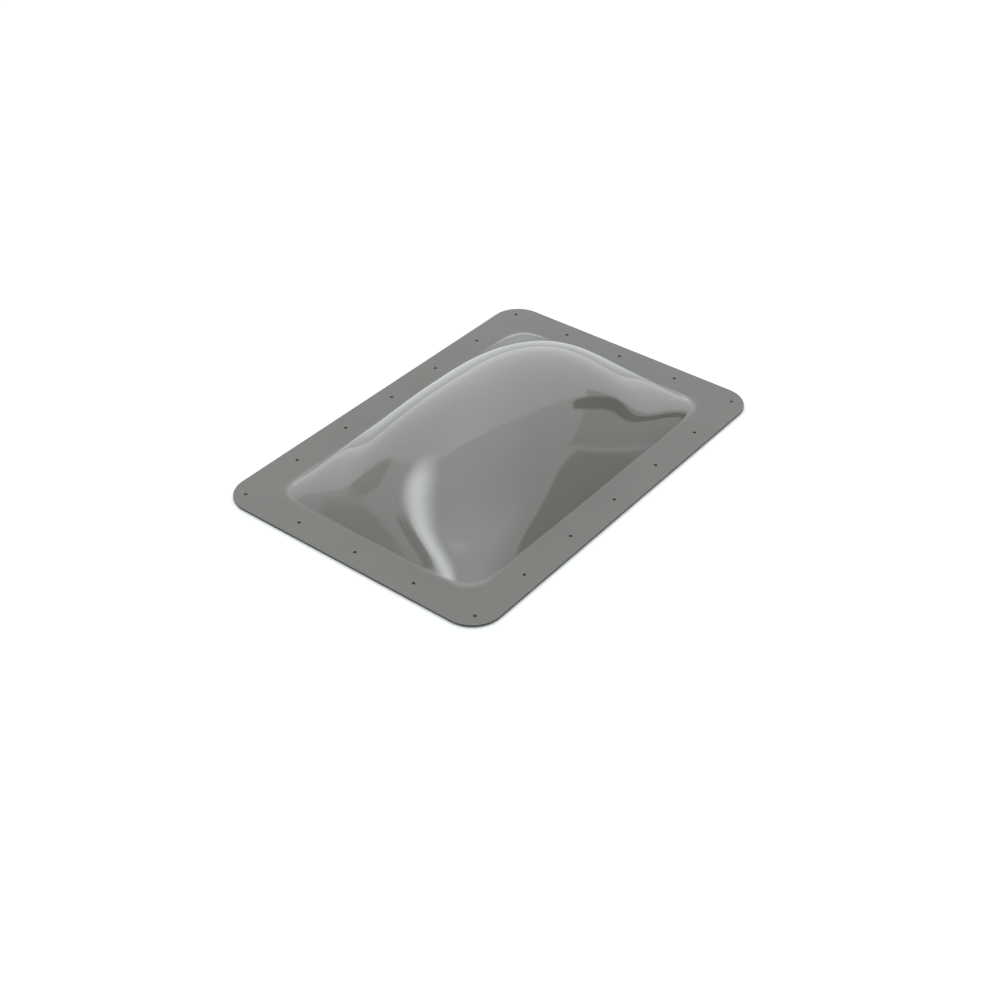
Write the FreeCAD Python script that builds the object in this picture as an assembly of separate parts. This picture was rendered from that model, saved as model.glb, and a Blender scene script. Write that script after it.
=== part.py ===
"""Skylight dome for an RV roof: one blown sheet with a flat screw flange, on four bedding strips.

Millimetres. +Z is up, +Y runs along the length, and the origin is in the middle of the plane that
the bedding strips rest on.
"""
import FreeCAD, Part
import math
import os

V = FreeCAD.Vector
UP = V(0, 0, 1)

# Dome: a bubble blown through a rounded rectangular frame, as wide and long as the roof opening.
DOME_WIDTH = 355.6
DOME_LENGTH = 558.8
DOME_CORNER_R = 38.1
DOME_RISE = 122.0
SHEET_T = 3.175
CROWN_T = 2.4
WIDTH_FULLNESS = 1.92
LENGTH_FULLNESS = 2.5
SPRING_LINE_INSET = 3.5
SPRING_LINE_LEVEL = 0.0143
SPRING_LINE_SOFTNESS = 0.006
SQUARE_SHARE = 0.45
SQUARENESS = 4.1
SQUARE_ONSET = 7
FOOT_BLEND = 4.0

# Flange: the flat margin of the same sheet, all round the dome, which lies on the roof.
FLANGE_MARGIN = 50.8
FLANGE_CORNER_R = 44.45

# Screw holes, one row all round the flange.
HOLE_D = 4.8
HOLE_EDGE_DISTANCE = 25.4
HOLE_PITCH_TARGET = 101.6

# Bedding strips: soft sealing tape under the flange, between the dome and the holes.
STRIP_T = 1.6
STRIP_DOME_GAP = 2.0
STRIP_HOLE_GAP = 1.95
STRIP_JOINT_GAP = 0.5

# Resolution of the level curves that the bubble is lofted through.
RAYS_PER_QUARTER = 22
LEVELS = 20
CROWN_CAP = 0.002

FLANGE_WIDTH = DOME_WIDTH + 2 * FLANGE_MARGIN
FLANGE_LENGTH = DOME_LENGTH + 2 * FLANGE_MARGIN
FLANGE_UNDERSIDE = STRIP_T
FLANGE_TOP = FLANGE_UNDERSIDE + SHEET_T
STRIP_WIDTH = FLANGE_MARGIN - HOLE_EDGE_DISTANCE - HOLE_D / 2 - STRIP_HOLE_GAP - STRIP_DOME_GAP


def rounded_rectangle(width, length, radius, z):
    """Closed wire: four straight sides joined by four quarter circles."""
    half_x, half_y = width / 2, length / 2
    lean = radius * (1 - math.sqrt(0.5))
    edges = []
    for sx, sy in ((1, 1), (-1, 1), (-1, -1), (1, -1)):
        along_x = V(sx * (half_x - radius), sy * half_y, z)
        along_y = V(sx * half_x, sy * (half_y - radius), z)
        middle = V(sx * (half_x - lean), sy * (half_y - lean), z)
        start, end = (along_y, along_x) if sx == sy else (along_x, along_y)
        edges.append(Part.Arc(start, middle, end).toShape())
    sides = [Part.LineSegment(a.Vertexes[-1].Point, b.Vertexes[0].Point).toShape()
             for a, b in zip(edges, edges[1:] + edges[:1])]
    return Part.Wire([edge for pair in zip(edges, sides) for edge in pair])


def depth_inside_outline(x, y):
    """Distance from a point to the dome's base outline, positive inside it."""
    qx = abs(x) - (DOME_WIDTH / 2 - DOME_CORNER_R)
    qy = abs(y) - (DOME_LENGTH / 2 - DOME_CORNER_R)
    return DOME_CORNER_R - math.hypot(max(qx, 0), max(qy, 0)) - min(max(qx, qy), 0)


def membrane(x, y):
    """Height of the blown membrane, from 0 at its spring line to 1 at the crown.

    It is part soft and part square: the soft form's corners lie low, and the square form's level
    curves turn from ellipses at the crown to squared ones at the foot, which lifts the corners.
    """
    u = (abs(x) / (DOME_WIDTH / 2 - SPRING_LINE_INSET)) ** WIDTH_FULLNESS
    v = (abs(y) / (DOME_LENGTH / 2 - SPRING_LINE_INSET)) ** LENGTH_FULLNESS
    keep = 1 - SPRING_LINE_LEVEL
    soft = ((1 - keep * u) * (1 - keep * v) - SPRING_LINE_LEVEL) / keep
    power = 1 + SQUARENESS * min(max(1 - (1 - u) * (1 - v), 0), 1) ** SQUARE_ONSET
    square = 1 - (u ** power + v ** power) ** (1 / power)
    share = soft + SQUARE_SHARE * (square - soft)
    return (share + math.hypot(share, SPRING_LINE_SOFTNESS)) / 2


def bubble_height(x, y):
    """Height of the outer face above the flange, eased to nothing at the base outline."""
    ease = min(max(depth_inside_outline(x, y) / FOOT_BLEND, 0), 1)
    return DOME_RISE * membrane(x, y) * ease * ease * (3 - 2 * ease)


def face_point(x, y, inner):
    """Point of the outer face over (x, y), or the one square behind it on the inner face."""
    step = 0.05
    slope_x = (bubble_height(x + step, y) - bubble_height(x - step, y)) / (2 * step)
    slope_y = (bubble_height(x, y + step) - bubble_height(x, y - step)) / (2 * step)
    rise = bubble_height(x, y)
    thickness = SHEET_T - (SHEET_T - CROWN_T) * rise / DOME_RISE if inner else 0
    return V(x, y, FLANGE_TOP + rise) - V(-slope_x, -slope_y, 1).normalize() * thickness


def ray_to_outline(angle):
    """Distance from the centre to the base outline in one direction."""
    near, far = 0.0, math.hypot(DOME_WIDTH, DOME_LENGTH) / 2
    for _ in range(50):
        middle = (near + far) / 2
        if depth_inside_outline(middle * math.cos(angle), middle * math.sin(angle)) > 0:
            near = middle
        else:
            far = middle
    return near


def level_point(angle, level, inner):
    """Point at one level of a face, found by halving along one direction from the centre."""
    near, far = 0.0, ray_to_outline(angle)
    for _ in range(50):
        middle = (near + far) / 2
        point = face_point(middle * math.cos(angle), middle * math.sin(angle), inner)
        if point.z > level:
            near = middle
        else:
            far = middle
    return V(point.x, point.y, level)


def ray_angles():
    """Directions once round, spaced evenly on an ellipse of the dome's proportions."""
    count = 4 * RAYS_PER_QUARTER
    turns = [2 * math.pi * (i + 0.5) / count for i in range(count)]
    return [math.atan2(DOME_LENGTH * math.sin(t), DOME_WIDTH * math.cos(t)) for t in turns]


def closed_curve(points):
    """Smooth closed wire through the points, with one unit of parameter from each to the next."""
    curve = Part.BSplineCurve()
    curve.interpolate(Points=points, PeriodicFlag=True, Parameters=range(len(points) + 1))
    return Part.Wire([curve.toShape()])


def bubble_rings(inner):
    """Closed level curves of one face of the bubble, from the base outline up to a small crown."""
    base_z = FLANGE_UNDERSIDE if inner else FLANGE_TOP
    climb = (face_point(0, 0, inner).z - base_z) * (1 - CROWN_CAP)
    rims = [(ray_to_outline(a), a) for a in ray_angles()]
    rings = [closed_curve([V(r * math.cos(a), r * math.sin(a), base_z) for r, a in rims])]
    for i in range(1, LEVELS + 1):
        level = base_z + climb * math.sin(math.pi / 2 * i / LEVELS) ** 3
        rings.append(closed_curve([level_point(a, level, inner) for a in ray_angles()]))
    return rings


def evenly_spaced(span):
    """Positions from one end of a row to the other, at about the target pitch."""
    gaps = round(span / HOLE_PITCH_TARGET)
    return [-span / 2 + span * i / gaps for i in range(gaps + 1)]


def hole_centres():
    """Screw holes round the flange, each corner hole counted once."""
    half_x = FLANGE_WIDTH / 2 - HOLE_EDGE_DISTANCE
    half_y = FLANGE_LENGTH / 2 - HOLE_EDGE_DISTANCE
    long_sides = [(sx * half_x, y) for sx in (-1, 1) for y in evenly_spaced(2 * half_y)]
    short_sides = [(x, sy * half_y) for sy in (-1, 1) for x in evenly_spaced(2 * half_x)[1:-1]]
    return long_sides + short_sides


def dome_side(z, inner):
    """One side of the sheet at flange height z: the drilled flat margin, the bubble and its crown."""
    rings = bubble_rings(inner)
    rim = rounded_rectangle(FLANGE_WIDTH, FLANGE_LENGTH, FLANGE_CORNER_R, z)
    holes = [Part.Wire([Part.makeCircle(HOLE_D / 2, V(x, y, z), UP)]) for x, y in hole_centres()]
    margin = Part.makeFace([rim, rings[0]] + holes, "Part::FaceMakerBullseye")
    bubble = Part.makeLoft(rings, False, False)
    return margin.Faces + bubble.Faces + [Part.Face(rings[-1])], [rim] + holes


def dome():
    """The blown sheet: flange and bubble in one piece, hollow below, drilled all round."""
    under, cut_edges = dome_side(FLANGE_UNDERSIDE, True)
    top, _ = dome_side(FLANGE_TOP, False)
    walls = [face for wire in cut_edges for face in wire.extrude(UP * SHEET_T).Faces]
    skin = Part.makeShell(under + top + walls)
    skin.sewShape()
    return Part.makeSolid(skin)


def strip_ring():
    """Inner half-width and half-length of the ring that the bedding strips make."""
    return DOME_WIDTH / 2 + STRIP_DOME_GAP, DOME_LENGTH / 2 + STRIP_DOME_GAP


def end_strip(side):
    """Strip under one short side, as long as the whole ring is wide."""
    ring_x, ring_y = strip_ring()
    outer_x = ring_x + STRIP_WIDTH
    low_y = ring_y if side > 0 else -ring_y - STRIP_WIDTH
    return Part.makeBox(2 * outer_x, STRIP_WIDTH, STRIP_T, V(-outer_x, low_y, 0))


def side_strip(side):
    """Strip under one long side, cut to butt against the two end strips."""
    ring_x, ring_y = strip_ring()
    length = 2 * (ring_y - STRIP_JOINT_GAP)
    low_x = ring_x if side > 0 else -ring_x - STRIP_WIDTH
    return Part.makeBox(STRIP_WIDTH, length, STRIP_T, V(low_x, -length / 2, 0))


nodes = {
    "dome": dome(),
    "seal_strip_front": end_strip(-1),
    "seal_strip_rear": end_strip(1),
    "seal_strip_left": side_strip(-1),
    "seal_strip_right": side_strip(1),
}

os.makedirs("parts", exist_ok=True)
for name, shape in nodes.items():
    print(name, shape.ShapeType, len(shape.Solids), shape.isValid(), round(shape.Volume))
    shape.exportStep("parts/" + name + ".step")
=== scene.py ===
"""A smoke-tinted skylight dome for a vehicle roof, standing on a studio floor."""

import math

import bpy
import numpy as np
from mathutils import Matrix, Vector


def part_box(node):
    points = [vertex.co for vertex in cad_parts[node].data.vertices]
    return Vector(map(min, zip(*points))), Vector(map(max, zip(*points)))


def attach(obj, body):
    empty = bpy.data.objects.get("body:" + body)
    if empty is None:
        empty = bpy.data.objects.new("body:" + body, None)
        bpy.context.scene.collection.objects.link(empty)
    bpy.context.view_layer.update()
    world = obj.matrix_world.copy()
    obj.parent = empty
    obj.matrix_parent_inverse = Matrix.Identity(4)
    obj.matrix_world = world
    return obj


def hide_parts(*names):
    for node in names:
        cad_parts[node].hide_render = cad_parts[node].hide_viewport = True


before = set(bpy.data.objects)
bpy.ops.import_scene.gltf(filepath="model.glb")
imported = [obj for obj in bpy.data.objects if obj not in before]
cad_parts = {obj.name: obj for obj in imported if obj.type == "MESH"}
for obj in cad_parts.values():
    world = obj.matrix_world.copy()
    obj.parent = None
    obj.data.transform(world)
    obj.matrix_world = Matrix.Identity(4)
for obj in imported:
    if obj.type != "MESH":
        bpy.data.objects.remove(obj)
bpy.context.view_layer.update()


# ---------------------------------------------------------------------------------------------
# The sheet
# One sheet of smoke-tinted polycarbonate, clamped flat round a frame and blown up through it while
# hot. The clamped margin stays flat as the screw flange, and has the press's faint dull bloom. Only
# air touched the bubble, so it is mirror smooth. The rim is sawn and the holes drilled last.

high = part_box("dome")[1]
SHEET_T = 0.003175
CROWN_T = 0.0024
TOP_Z = 0.0016 + SHEET_T
UNDERSIDE_Z = TOP_Z - SHEET_T
FLANGE_HALF = np.array([high.x, high.y])
FLANGE_MARGIN = 0.0508
FLANGE_CORNER = 0.04445
DOME_HALF = FLANGE_HALF - FLANGE_MARGIN
DOME_CORNER = 0.0381
DOME_RISE = high.z - TOP_Z
FULLNESS = np.array([1.92, 2.5])
SPRING_LINE_INSET = 0.0035
SPRING_LINE_LEVEL = 0.0143
SPRING_LINE_SOFTNESS = 0.006
SQUARE_SHARE = 0.45
SQUARENESS = 4.1
SQUARE_ONSET = 7
FOOT_BLEND = 0.004
EDGE_BREAK = 0.0004
SLOPE_STEP = 0.00002
CORNER_STEPS = 24
SIDE_STEPS = (30, 46)
BUBBLE_RINGS = 130
FOOT_CROWDING = 1.35
SHARP_EDGE = math.radians(35)


def outline(half, corner):
    """Points anticlockwise round a rounded rectangle: quarter circles in even turns, each followed
    by a straight side in even steps, so that two outlines pair off point by point."""
    points = []
    for quarter in range(4):
        turn = quarter * math.pi / 2
        centre = (half - corner) * [(1, 1), (-1, 1), (-1, -1), (1, -1)][quarter]
        a = turn + np.linspace(0, math.pi / 2, CORNER_STEPS, endpoint=False)
        points.append(centre + corner * np.stack([np.cos(a), np.sin(a)], 1))
        end = turn + math.pi / 2
        way = np.round([math.cos(end), math.sin(end)], 6)
        along = np.round([-math.sin(end), math.cos(end)], 6)
        run = 2 * abs((half - corner) @ along)
        t = np.linspace(0, run, SIDE_STEPS[quarter % 2], endpoint=False)[:, None]
        points.append(centre + corner * way + t * along)
    return np.concatenate(points)


def depth(xy):
    """Distance to the bubble's base outline, positive inside: the corner radius less the distance
    to the smaller rectangle that the corner centres make."""
    over = np.abs(xy) - (DOME_HALF - DOME_CORNER)
    return DOME_CORNER - np.linalg.norm(np.maximum(over, 0), axis=-1) - np.minimum(over.max(-1), 0)


def rise(xy):
    """Height above the flange. Of x and y, each raised to a power, the soft form is one less the
    first times one less the second, and the square form is one less the length of the pair, in a
    measure that turns from round at the crown to square at the foot. A share of each is softened
    where it crosses zero and eased to nothing at the base outline."""
    pair = (np.abs(xy) / (DOME_HALF - SPRING_LINE_INSET)) ** FULLNESS
    keep = 1 - SPRING_LINE_LEVEL
    soft = ((1 - keep * pair).prod(-1) - SPRING_LINE_LEVEL) / keep
    power = 1 + SQUARENESS * np.clip(1 - (1 - pair).prod(-1), 0, 1) ** SQUARE_ONSET
    square = 1 - (pair ** power[..., None]).sum(-1) ** (1 / power)
    blown = soft + SQUARE_SHARE * (square - soft)
    blown = (blown + np.hypot(blown, SPRING_LINE_SOFTNESS)) / 2
    ease = np.clip(depth(xy) / FOOT_BLEND, 0, 1)
    return DOME_RISE * blown * ease ** 2 * (3 - 2 * ease)


def bubble(xy, inner):
    """Points of the outer face over xy, or those square behind them on the inner face, where the
    wall thins from flange to crown in step with the height."""
    up = rise(xy)
    slope = [(rise(xy + step) - rise(xy - step)) / (2 * SLOPE_STEP) for step in SLOPE_STEP * np.eye(2)]
    slope = np.stack(slope, -1)
    normal = np.concatenate([-slope, np.ones_like(up)[..., None]], -1)
    normal /= np.linalg.norm(normal, axis=-1, keepdims=True)
    wall = inner * (SHEET_T - (SHEET_T - CROWN_T) * up / DOME_RISE)
    return np.concatenate([xy, (TOP_Z + up)[..., None]], -1) - normal * wall[..., None]


def flat_ring(inset, z):
    """Outline of the flange, moved inwards by inset, at height z."""
    xy = outline(FLANGE_HALF - inset, FLANGE_CORNER - inset)
    return np.concatenate([xy, np.full((len(xy), 1), z)], 1)


def mesh_object(name, points, faces):
    """A mesh object, smooth wherever two faces meet at less than the sharp edge's angle."""
    mesh = bpy.data.meshes.new(name)
    mesh.from_pydata(np.asarray(points).tolist(), [], faces)
    mesh.shade_smooth()
    mesh.set_sharp_from_angle(angle=SHARP_EDGE)
    made = bpy.data.objects.new(name, mesh)
    bpy.context.scene.collection.objects.link(made)
    return made


def skin_faces(rings, steps):
    """Four-sided faces between each ring of points and the next, round a closed loop."""
    k, j = np.mgrid[0:rings - 1, 0:steps]
    nxt = (j + 1) % steps
    corners = [k * steps + j, (k + 1) * steps + j, (k + 1) * steps + nxt, k * steps + nxt]
    return np.stack(corners, -1).reshape(-1, 4).tolist()


# The skin is one run of rings: from the crown down the outer face, across the flange, round the
# sawn rim, back under the flange and up the inner face to the crown again.
base = outline(DOME_HALF, DOME_CORNER)
share = 1 - (1 - np.arange(1, BUBBLE_RINGS + 1) / BUBBLE_RINGS) ** FOOT_CROWDING
bubble_xy = share[:, None, None] * base
flange_shares = np.array([0.1, 0.35, 0.65])[:, None, None]
margin_top = np.concatenate([base, np.full((len(base), 1), TOP_Z)], 1)
rim_top = flat_ring(3 * EDGE_BREAK, TOP_Z)
top_rings = margin_top + flange_shares * (rim_top - margin_top)
turn = np.linspace(0, math.pi / 2, 4)
break_insets = EDGE_BREAK * (1 - np.sin(turn))
break_drops = EDGE_BREAK * (1 - np.cos(turn))
upper_break = [flat_ring(i, TOP_Z - d) for i, d in zip(break_insets, break_drops)]
down = np.array([0, 0, SHEET_T])
lower_break = [ring * [1, 1, -1] + [0, 0, TOP_Z + UNDERSIDE_Z] for ring in upper_break[::-1]]
rings = np.concatenate([bubble(bubble_xy, 0), top_rings, [rim_top], upper_break, lower_break,
                        [rim_top - down], top_rings[::-1] - down, bubble(bubble_xy[::-1], 1)])
count, steps = rings.shape[:2]
poles = np.concatenate([bubble(np.zeros((1, 2)), 0), bubble(np.zeros((1, 2)), 1)])
points = np.concatenate([rings.reshape(-1, 3), poles])
j = np.arange(steps)
last = (count - 1) * steps
crown = np.stack([np.full(steps, count * steps), j, (j + 1) % steps], -1).tolist()
hollow = np.stack([last + j, np.full(steps, count * steps + 1), last + (j + 1) % steps], -1).tolist()
sheet = mesh_object("dome_sheet", points, skin_faces(count, steps) + crown + hollow)

# Screw holes: a 4.8 mm drill goes through at a 4 in pitch, and each mouth is lightly countersunk.
HOLE_R = 0.0024
HOLE_INSET = 0.0254
PITCH = 0.1016
MOUTH = 0.0003
BIT_SIDES = 40
BIT_OVERRUN = 0.001
row = FLANGE_HALF - HOLE_INSET
across, along = [np.linspace(-r, r, 1 + round(2 * r / PITCH)) for r in row]
centres = [(sx * row[0], y) for sx in (-1, 1) for y in along]
centres += [(x, sy * row[1]) for sy in (-1, 1) for x in across[1:-1]]
bit_r = HOLE_R + np.array([MOUTH + BIT_OVERRUN, 0, 0, MOUTH + BIT_OVERRUN])
bit_z = np.array([TOP_Z + BIT_OVERRUN, TOP_Z - MOUTH, UNDERSIDE_Z + MOUTH, UNDERSIDE_Z - BIT_OVERRUN])
turn = np.arange(BIT_SIDES) * 2 * math.pi / BIT_SIDES
circle = np.stack([np.cos(turn), np.sin(turn), 0 * turn], 1)
bit = circle * bit_r[:, None, None] + bit_z[:, None, None] * [0, 0, 1]
bits = bit.reshape(1, -1, 3) + np.pad(np.array(centres), ((0, 0), (0, 1)))[:, None]
bit_ends = [list(range(BIT_SIDES)), list(range(4 * BIT_SIDES - 1, 3 * BIT_SIDES - 1, -1))]
bit_faces = skin_faces(4, BIT_SIDES) + bit_ends
drill_faces = [[v + i * 4 * BIT_SIDES for v in face] for i in range(len(centres)) for face in bit_faces]
drill = mesh_object("drill", bits.reshape(-1, 3), drill_faces)
cut = sheet.modifiers.new("holes", "BOOLEAN")
cut.object = drill
cut.operation = "DIFFERENCE"
cut.solver = "EXACT"
bpy.context.view_layer.objects.active = sheet
bpy.ops.object.modifier_apply(modifier=cut.name)
bpy.data.objects.remove(drill)
sheet.data.set_sharp_from_angle(angle=SHARP_EDGE)

# Share of the blown face's gloss: none on the clamped flange, all of it above the bend.
xyz = np.zeros(3 * len(sheet.data.vertices), np.float32)
sheet.data.vertices.foreach_get("co", xyz)
GLOSS_START = -0.001
GLOSS_RAMP = 0.010
lift = np.clip((depth(xyz.reshape(-1, 3)[:, :2]) - GLOSS_START) / GLOSS_RAMP, 0, 1)
blown = sheet.data.attributes.new("blown", "FLOAT", "POINT")
blown.data.foreach_set("value", lift ** 2 * (3 - 2 * lift))


class Wire:
    """An output socket of a material's nodes. Arithmetic on it adds a Math node."""

    def __init__(self, tree, socket=None):
        self.tree = tree
        self.socket = socket

    def node(self, kind, settings=(), sockets=(), out=0):
        """Adds a node, makes its settings, sets or links its sockets and returns one output."""
        made = self.tree.nodes.new("ShaderNode" + kind)
        for name, value in dict(settings).items():
            setattr(made, name, value)
        for name, value in dict(sockets).items():
            if isinstance(value, Wire):
                self.tree.links.new(value.socket, made.inputs[name])
            else:
                made.inputs[name].default_value = value
        return Wire(self.tree, made.outputs[out] if made.outputs else None)

    def math(self, operation, a, b=0.0):
        return self.node("Math", {"operation": operation}, {0: a, 1: b})

    def __add__(self, other):
        return self.math("ADD", self, other)

    def __sub__(self, other):
        return self.math("SUBTRACT", self, other)

    def __rsub__(self, other):
        return self.math("SUBTRACT", other, self)

    def __mul__(self, other):
        return self.math("MULTIPLY", self, other)

    __radd__ = __add__
    __rmul__ = __mul__

    def ramp(self, start, end):
        """Rises smoothly from 0 where the value is start to 1 where it is end."""
        return self.node("MapRange", {"interpolation_type": "SMOOTHSTEP"},
                         {"Value": self, "From Min": start, "From Max": end})

    def blend(self, colour_a, colour_b):
        """Mixes two colours, with this value as the share of the second."""
        return self.node("Mix", {"data_type": "RGBA"}, {0: self, 6: colour_a, 7: colour_b}, out=2)


def material(name):
    """An empty node material, with the Wire that its nodes are added from."""
    made = bpy.data.materials.new(name)
    made.use_nodes = True
    made.node_tree.nodes.clear()
    return made, Wire(made.node_tree)


SMOKE = (0.0985, 0.0925, 0.0815, 1.0)
SMOKE_DEEP = (0.0915, 0.0860, 0.0755, 1.0)
# Near black for the sawn rim and the drilled hole walls: partly the smoke sheet's own dark cut edge,
# partly painted shade.
SAWN_EDGE_AND_SHADE = (0.030, 0.029, 0.026, 1.0)
smoke, new = material("smoke polycarbonate")
place = new.node("TexCoord", out=3)
facing = new.node("SeparateXYZ", sockets={0: new.node("TexCoord", out=1)}, out=2)
# Faces that stand near upright, the rim and the hole walls, take the near-black colour as painted shade
# on top of the sheet's dark cut edge, and a duller, rougher finish.
sawn_and_shaded = 1 - new.math("ABSOLUTE", facing).ramp(0.1, 0.4)
blown = new.node("Attribute", {"attribute_name": "blown"}, out=2)
clouds = new.node("TexNoise", sockets={"Vector": place, "Scale": 9.0, "Detail": 3.0})
bloom = new.node("TexNoise", sockets={"Vector": place, "Scale": 260.0, "Detail": 4.0})
grain = new.node("TexNoise", sockets={"Vector": place, "Scale": 1400.0, "Detail": 2.0})
tint = clouds.ramp(0.3, 0.7).blend(SMOKE, SMOKE_DEEP)
colour = sawn_and_shaded.blend(tint, SAWN_EDGE_AND_SHADE)
dullness = 0.11 + 0.05 * bloom - 0.09 * blown + 0.4 * sawn_and_shaded
relief = (1 - blown) * (0.2 * bloom + 0.5 * grain) + sawn_and_shaded * grain
bump = new.node("Bump", sockets={"Strength": 0.25, "Distance": 0.00004, "Height": relief})
surface = new.node("BsdfPrincipled", sockets={
    "Base Color": colour, "Roughness": dullness, "IOR": 1.5, "Normal": bump,
    "Coat Weight": blown, "Coat Roughness": 0.02, "Coat IOR": 1.5})
new.node("OutputMaterial", sockets={"Surface": surface})
sheet.data.materials.append(smoke)
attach(sheet, "root")
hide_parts("dome")


# ---------------------------------------------------------------------------------------------
# The bedding strips
# Four lengths of pale grey butyl tape, pressed down on the roof round the opening, between the
# bubble and the screws. The end strips run the full width, and the side strips butt against them.

TAPE_ROUNDING = 0.0004
TAPE_STEPS = 60
TAPE_WAVE = 0.00025
TAPE_WAVE_RUN = 0.031
TAPE_PALE = (0.29, 0.29, 0.275, 1.0)
TAPE_GREY = (0.22, 0.22, 0.21, 1.0)


def tape_points(corner_low, corner_high):
    """Rings of a bar from one end to the other: a rectangle with rounded corners, which closes in
    by a quarter circle at each end, and whose sides swell and sink gently by a slow sine wave."""
    size = corner_high - corner_low
    long_axis = int(size[1] > size[0])
    half_wide, half_high = size[1 - long_axis] / 2, size[2] / 2
    turn = np.linspace(0, math.pi / 2, 4)
    end_in = TAPE_ROUNDING * (1 - np.sin(turn))
    end_at = TAPE_ROUNDING * (1 - np.cos(turn)) / size[long_axis]
    at = np.concatenate([end_at, np.linspace(0.01, 0.99, TAPE_STEPS), 1 - end_at[::-1]])
    inset = np.concatenate([end_in, np.zeros(TAPE_STEPS), end_in[::-1]])[:, None]
    a = np.concatenate([q * math.pi / 2 + np.linspace(0, math.pi / 2, 5) for q in range(4)])
    quadrant = np.repeat(np.arange(4), 5)
    side = np.where((quadrant == 0) | (quadrant == 3), 1, -1)
    face = np.where(quadrant < 2, 1, -1)
    wide = side * (half_wide - TAPE_ROUNDING) + (TAPE_ROUNDING - inset) * np.cos(a)
    tall = face * (half_high - TAPE_ROUNDING) + (TAPE_ROUNDING - inset) * np.sin(a)
    wave = TAPE_WAVE * np.sin(at * size[long_axis] / TAPE_WAVE_RUN)[:, None]
    wide = wide - side * (TAPE_WAVE + wave)
    middle = (corner_low + corner_high) / 2
    ring = np.zeros(wide.shape + (3,))
    ring[..., long_axis] = (corner_low[long_axis] + at * size[long_axis])[:, None]
    ring[..., 1 - long_axis] = middle[1 - long_axis] + wide * (1, -1)[long_axis == 0]
    ring[..., 2] = middle[2] + tall
    return ring


butyl, new = material("grey butyl tape")
place = new.node("TexCoord", out=3)
lumps = new.node("TexNoise", sockets={"Vector": place, "Scale": 120.0, "Detail": 5.0})
dust = new.node("TexNoise", sockets={"Vector": place, "Scale": 900.0, "Detail": 3.0})
colour = lumps.ramp(0.3, 0.7).blend(TAPE_GREY, TAPE_PALE)
bump = new.node("Bump", sockets={"Strength": 0.5, "Distance": 0.0002, "Height": lumps + 0.4 * dust})
surface = new.node("BsdfPrincipled", sockets={
    "Base Color": colour, "Roughness": 0.62 + 0.2 * dust, "Normal": bump})
new.node("OutputMaterial", sockets={"Surface": surface})
for end in ("front", "rear", "left", "right"):
    node = "seal_strip_" + end
    rings = tape_points(*[np.array(corner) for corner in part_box(node)])
    count, steps = rings.shape[:2]
    caps = [list(range(steps)), list(range(count * steps - 1, (count - 1) * steps - 1, -1))]
    faces = skin_faces(count, steps) + caps
    strip = mesh_object("butyl_" + end, rings.reshape(-1, 3), faces)
    strip.data.materials.append(butyl)
    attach(strip, "root")
    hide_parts(node)


# ---------------------------------------------------------------------------------------------
# The floor
# A wide sheet of matt white board.

FLOOR_HALF = 30.0
corners = np.array([(-1, -1, 0), (1, -1, 0), (1, 1, 0), (-1, 1, 0)]) * FLOOR_HALF
board, new = material("white board")
fibre = new.node("TexNoise", sockets={"Vector": new.node("TexCoord", out=3), "Scale": 60.0})
white = fibre.blend((0.72, 0.72, 0.72, 1.0), (0.74, 0.74, 0.74, 1.0))
surface = new.node("BsdfDiffuse", sockets={"Color": white})
new.node("OutputMaterial", sockets={"Surface": surface})
floor = mesh_object("floor", corners, [[0, 1, 2, 3]])
floor.data.materials.append(board)


# ---------------------------------------------------------------------------------------------
# The light
# An even white surround, with a luminous ceiling 2.6 m up, a few screens round the walls 3 m away
# and a pale mat on the floor. The ceiling's bay, bar and lamp, the screens and the mat are what the
# polished bubble mirrors.

CEILING_H = 2.6
CEILING_REACH = 6.2
WALL_R = 3.0
SURROUND = 1.2
DAYLIGHT = (0.95, 1.0, 1.02)
MAT_REACH = 6.0
MAT_GLOW = 0.8
MAT_LEVEL = 0.0006

# On the ceiling, places are in ceiling heights from the middle.
BAY_GLOW = 2.4
BAY = [(-.09, -.18), (.17, .25), (.34, .68), (.48, 1.04), (.57, 1.44), (.56, 2.3), (.42, 3.5), (.3, 6),
       (-7, 6), (-7, 2), (-3.5, .7), (-2.7, .05), (-1.69, -.2), (-1, -.35), (-.5, -.39), (-.26, -.31)]
BAR_GLOW = 0.6
BAR = [(-.71, -.94), (-.58, -.84), (-.47, -.74), (-.48, -.82), (-.58, -.97), (-.68, -1.08)]
LAMP_GLOW = 5.2
LAMP = (-.32, -.56)
LAMP_R = .4

# Each screen is a brightness and its corners, which are headings and elevations in degrees.
WALL_TOP = 39
SCREENS = [
    (0.75, [(-146, -2), (-146, 33.5), (-137, 34.5), (-118, 37.5), (-106, 36.5), (-100, 34), (-98, 30),
            (-102, -2)]),
    (0.8, [(12, -2), (14, 27), (28, 30), (43, 29), (43, -2)]),
    (0.1, [(25, 34), (22, 32), (18.5, 26), (15.5, 21), (12, 17), (11, 15), (16, 15), (21, 18), (23, 22),
           (27, 27), (29, 33)]),
    (0.5, [(44, -2), (44, 26), (52, 27.5), (85, 28), (85, -2)]),
]


def smooth(t):
    """The share t, clipped to 0 to 1 and eased at both ends."""
    t = np.clip(t, 0, 1)
    return t * t * (3 - 2 * t)


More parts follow.
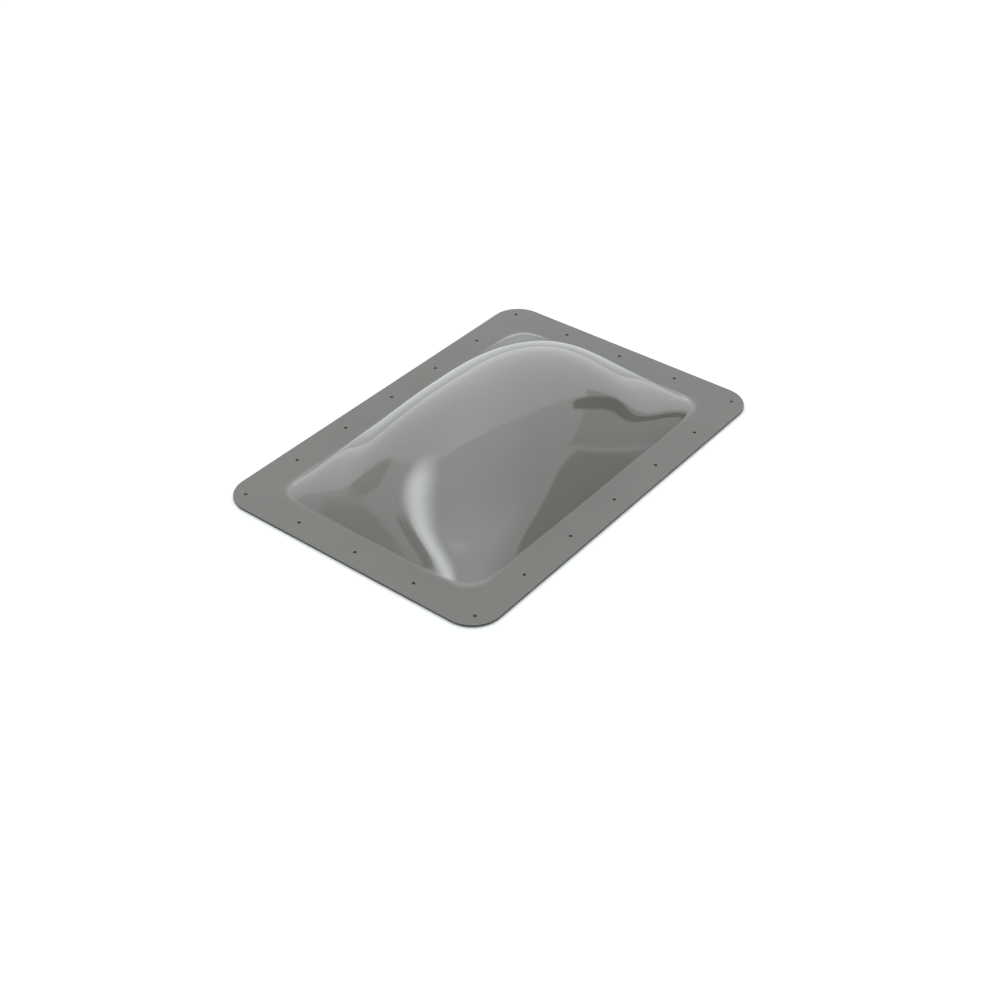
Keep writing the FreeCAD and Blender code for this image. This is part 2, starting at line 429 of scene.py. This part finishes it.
def inside(p, corners, soft):
    """Smoothly 1 inside a polygon and 0 outside: the distance to the nearest side, signed by how
    often a line from the point crosses the sides, over the width of the soft edge."""
    corners = np.array(corners, float)
    nearest = np.full(p.shape[:-1], np.inf)
    odd = np.zeros(p.shape[:-1], bool)
    for a, b in zip(corners, np.roll(corners, -1, 0)):
        t = np.clip(((p - a) @ (b - a)) / ((b - a) @ (b - a)), 0, 1)[..., None]
        nearest = np.minimum(nearest, np.linalg.norm(p - a - t * (b - a), axis=-1))
        slope = (b[0] - a[0]) / (b[1] - a[1] + 1e-12)
        between = (a[1] > p[..., 1]) != (b[1] > p[..., 1])
        odd ^= between & (p[..., 0] < a[0] + (p[..., 1] - a[1]) * slope)
    return smooth(np.where(odd, nearest, -nearest) / soft + 0.5)


def ceiling_glow(p):
    """Brightness of the ceiling at p: the surround's, a little more near the middle, then the bay,
    fading with distance, the lamp, fading from its middle to its rim, and the bar, each in turn
    laid over what is there."""
    r = np.linalg.norm(p, axis=-1)
    glow = SURROUND + 0.55 * smooth(1 - r / 1.6)
    glow += (BAY_GLOW * (0.5 + 0.5 * np.exp(-r / 1.2)) - glow) * inside(p, BAY, 0.04)
    glow += (LAMP_GLOW - glow) * smooth(1 - np.linalg.norm(p - LAMP, axis=-1) / LAMP_R)
    return glow + (BAR_GLOW - glow) * inside(p, BAR, 0.02)


def wall_light(p):
    """Brightness and cover of the screens at p, each laid in turn over those before it."""
    light = np.zeros(p.shape[:-1])
    cover = np.zeros(p.shape[:-1])
    for brightness, corners in SCREENS:
        share = inside(p, corners, 1.5)
        light += (brightness - light) * share
        cover += (1 - cover) * share
    return light / np.maximum(cover, 1e-6), cover


def light_surface(name, points, glow, cover):
    """A glowing grid that the camera doesn't see: glow is its brightness at each point, and cover
    how much of it is there, from 0 for an empty place to 1. Empty faces are left out."""
    rows, columns = glow.shape
    k, j = np.mgrid[0:rows - 1, 0:columns - 1]
    first = k * columns + j
    faces = np.stack([first, first + 1, first + columns + 1, first + columns], -1).reshape(-1, 4)
    shown = faces[cover.ravel()[faces].max(-1) > 0]
    made = mesh_object(name, points.reshape(-1, 3), shown.tolist())
    for field, value in (("glow", glow), ("cover", cover)):
        layer = made.data.attributes.new(field, "FLOAT", "POINT")
        layer.data.foreach_set("value", value.astype(np.float32).ravel())
    finish, new = material(name)
    brightness = new.node("Attribute", {"attribute_name": "glow"}, out=2)
    daylight = new.node("VectorMath", {"operation": "SCALE"}, {0: DAYLIGHT, "Scale": brightness})
    lit = new.node("Emission", sockets={"Color": daylight})
    cover_share = new.node("Attribute", {"attribute_name": "cover"}, out=2)
    surface = new.node("MixShader", sockets={0: cover_share, 1: new.node("BsdfTransparent"), 2: lit})
    new.node("OutputMaterial", sockets={"Surface": surface})
    finish.cycles.emission_sampling = "NONE"
    made.data.materials.append(finish)
    made.visible_camera = False
    return made


turns = np.radians(np.arange(0, 361, 2.0))
heading, reach = np.meshgrid(turns, CEILING_REACH * np.linspace(0.001, 1, 160) ** 2)
p = np.stack([np.sin(heading), np.cos(heading)], -1) * reach[..., None]
points = np.concatenate([p * CEILING_H, np.full(p.shape[:2] + (1,), CEILING_H)], -1)
light_surface("ceiling", points, ceiling_glow(p), np.ones(p.shape[:2]))
p = np.stack(np.meshgrid(np.arange(-180, 180.5, 0.75), np.linspace(0, WALL_TOP, 60)), -1)
heading, height = np.radians(p[..., 0]), WALL_R * np.tan(np.radians(p[..., 1]))
points = np.stack([WALL_R * np.sin(heading), WALL_R * np.cos(heading), height], -1)
screens = light_surface("screens", points, *wall_light(p))
ends = [-MAT_REACH, MAT_REACH]
points = np.stack([*np.meshgrid(ends, ends), np.full((2, 2), MAT_LEVEL)], -1)
mat = light_surface("mat", points, np.full((2, 2), MAT_GLOW), np.ones((2, 2)))
for mirrored in (screens, mat):
    mirrored.visible_diffuse = False
    mirrored.visible_shadow = False
world = bpy.data.worlds.new("surround")
world.use_nodes = True
background = world.node_tree.nodes["Background"]
background.inputs["Color"].default_value = (1, 1, 1, 1)
background.inputs["Strength"].default_value = SURROUND
bpy.context.scene.world = world
bpy.context.scene.view_settings.view_transform = "Standard"


# ---------------------------------------------------------------------------------------------
# The camera
# It stands off the front right corner, a little above the object, with a normal lens.

CAMERA_AT = Vector((1.1537, -1.4618, 1.3415))
CAMERA_AIM = Vector((0.0781, -0.0951, 0.0016))
lens = bpy.data.cameras.new("camera")
lens.lens = 57.42
lens.sensor_width = 36.0
camera = bpy.data.objects.new("camera", lens)
camera.location = CAMERA_AT
camera.rotation_euler = (CAMERA_AIM - CAMERA_AT).to_track_quat("-Z", "Y").to_euler()
bpy.context.scene.collection.objects.link(camera)
bpy.context.scene.camera = camera
